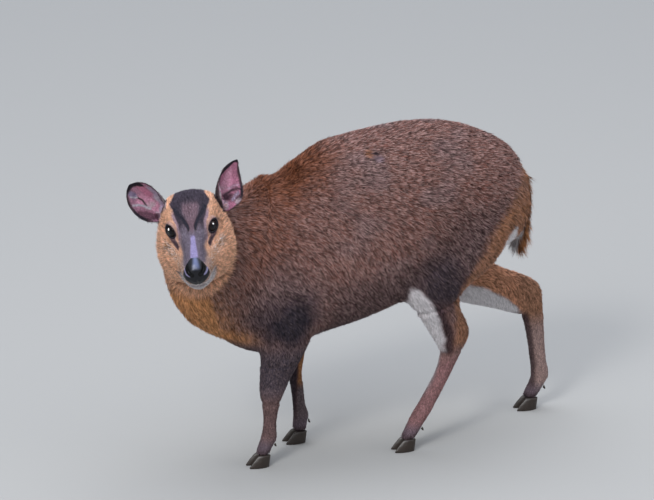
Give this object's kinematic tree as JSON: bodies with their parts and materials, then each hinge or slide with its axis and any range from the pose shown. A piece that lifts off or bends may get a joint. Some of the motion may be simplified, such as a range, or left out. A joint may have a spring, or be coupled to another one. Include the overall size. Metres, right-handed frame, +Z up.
{
  "type": "muntjac",
  "caption": "Life-size still model of a small deer, a hornless muntjac doe in a walking pose with its head turned to the side.",
  "frame": {"origin": "middle of the model's box on the floor, under the hooves", "axes": "+X towards the tail, along the body; -Y the animal's left side, the side its face is turned to; +Z up"},
  "size_m": [0.7356, 0.311, 0.5151],
  "materials": {
    "body_coat": "short dense fur, chestnut brown with grey-brown speckle",
    "head_coat": "short fur, ochre cheeks with a charcoal crown",
    "leg_coat": "very short fur, grey brown",
    "tail_coat": "long fur, russet above and white below",
    "ear_skin": "thin bare skin inside, short dark fur outside",
    "nose_skin": "moist pebbled skin",
    "eye": "wet gloss",
    "horn": "dull horn"
  },
  "bodies": {
    "root": {"torso": "body_coat", "neck": "body_coat", "head": "head_coat", "tail": "tail_coat", "ear_left": "ear_skin", "ear_right": "ear_skin", "nose_pad": "nose_skin", "eye_left": "eye", "eye_right": "eye", "foreleg_left_upper": "leg_coat", "foreleg_left_cannon": "leg_coat", "foreleg_left_hoof_inner": "horn", "foreleg_left_dew_claw_inner": "horn", "foreleg_left_hoof_outer": "horn", "foreleg_left_dew_claw_outer": "horn", "foreleg_right_upper": "leg_coat", "foreleg_right_cannon": "leg_coat", "foreleg_right_hoof_inner": "horn", "foreleg_right_dew_claw_inner": "horn", "foreleg_right_hoof_outer": "horn", "foreleg_right_dew_claw_outer": "horn", "hind_leg_left_upper": "leg_coat", "hind_leg_left_cannon": "leg_coat", "hind_leg_left_hoof_inner": "horn", "hind_leg_left_dew_claw_inner": "horn", "hind_leg_left_hoof_outer": "horn", "hind_leg_left_dew_claw_outer": "horn", "hind_leg_right_upper": "leg_coat", "hind_leg_right_cannon": "leg_coat", "hind_leg_right_hoof_inner": "horn", "hind_leg_right_dew_claw_inner": "horn", "hind_leg_right_hoof_outer": "horn", "hind_leg_right_dew_claw_outer": "horn"}
  },
  "joints": []
}
